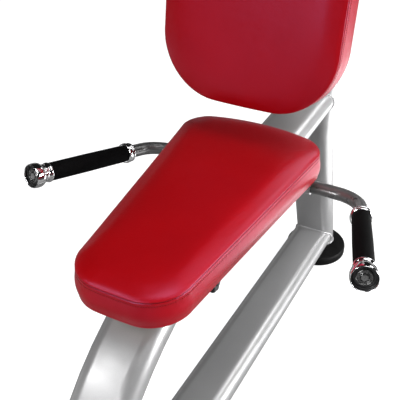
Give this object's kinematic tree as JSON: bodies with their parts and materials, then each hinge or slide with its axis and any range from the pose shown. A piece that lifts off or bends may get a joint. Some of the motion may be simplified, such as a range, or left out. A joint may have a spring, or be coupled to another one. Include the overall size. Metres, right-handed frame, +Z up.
{
  "type": "roman chair",
  "caption": "Free-standing seated trainer: tapered padded seat sliding on a flat-oval tube loop frame, padded backrest, splayed side grips and rubber disc feet.",
  "frame": {"origin": "on the floor, midway between the rear foot and the front cross tube, in the plane of symmetry", "axes": "+Z up; the sitter faces -Y, and +Y runs to the rear post; +X is the sitter's left"},
  "size_m": [0.6116, 1.282, 1.1454],
  "materials": {
    "frame_paint": "silver-grey metallic paint, semi-gloss",
    "handle_paint": "dark silver-grey metallic paint, glossy",
    "leatherette": "red leatherette, fine grain, satin, stitched edge seam",
    "board_wood": "raw plywood",
    "rubber": "black moulded rubber, matte",
    "grip_foam": "black ribbed rubber foam, matte",
    "chrome": "polished chrome plate",
    "black_plastic": "black moulded plastic, satin",
    "nylon": "natural nylon, satin",
    "zinc_steel": "zinc-plated steel"
  },
  "bodies": {
    "frame": {"rear_post": "frame_paint", "rear_foot_plate": "frame_paint", "rear_foot_boss": "frame_paint", "seat_rail_and_leg": "frame_paint", "base_tube": "frame_paint", "front_cross_tube": "frame_paint", "cross_tube_plug_left": "black_plastic", "cross_tube_plug_right": "black_plastic", "post_plug": "black_plastic", "foot_disc_rear": "rubber", "foot_disc_front_left": "rubber", "foot_disc_front_right": "rubber", "foot_bolt_rear": "zinc_steel", "foot_bolt_front_left": "zinc_steel", "foot_bolt_front_right": "zinc_steel", "rail_stop_front": "rubber", "rail_stop_rear": "rubber", "backrest_pad": "leatherette", "backrest_board": "board_wood", "backrest_plate": "frame_paint", "backrest_arm": "frame_paint", "backrest_bolt_1": "zinc_steel", "backrest_bolt_2": "zinc_steel", "backrest_bolt_3": "zinc_steel", "backrest_bolt_4": "zinc_steel", "handle_tube_left": "handle_paint", "handle_socket_left": "frame_paint", "grip_collar_left": "chrome", "grip_sleeve_left": "grip_foam", "grip_neck_left": "chrome", "grip_cap_left": "chrome", "cap_insert_left": "black_plastic", "cap_screw_left": "zinc_steel", "handle_tube_right": "handle_paint", "handle_socket_right": "frame_paint", "grip_collar_right": "chrome", "grip_sleeve_right": "grip_foam", "grip_neck_right": "chrome", "grip_cap_right": "chrome", "cap_insert_right": "black_plastic", "cap_screw_right": "zinc_steel"},
    "seat": {"seat_pad": "leatherette", "seat_board": "board_wood", "carriage_plate": "frame_paint", "carriage_cheek_left": "frame_paint", "carriage_cheek_right": "frame_paint", "glide_left": "nylon", "glide_right": "nylon", "glide_top": "nylon", "retaining_bolt_front": "zinc_steel", "retaining_bolt_rear": "zinc_steel", "retaining_nut_front": "zinc_steel", "retaining_nut_rear": "zinc_steel", "seat_bolt_1": "zinc_steel", "seat_bolt_2": "zinc_steel", "seat_bolt_3": "zinc_steel", "seat_bolt_4": "zinc_steel", "clamp_boss": "frame_paint"},
    "clamp": {"clamp_screw": "zinc_steel", "clamp_knob": "black_plastic"}
  },
  "joints": [
    {"name": "seat_slide", "type": "slide", "parent": "frame", "child": "seat", "axis": [0, 1, 0], "range_m": [0, 0.08]},
    {"name": "clamp_turn", "type": "hinge", "parent": "seat", "child": "clamp", "pos_m": [0.0567, -0.249, 0.548], "axis": [1, 0, 0], "range_deg": [0, 360]}
  ]
}
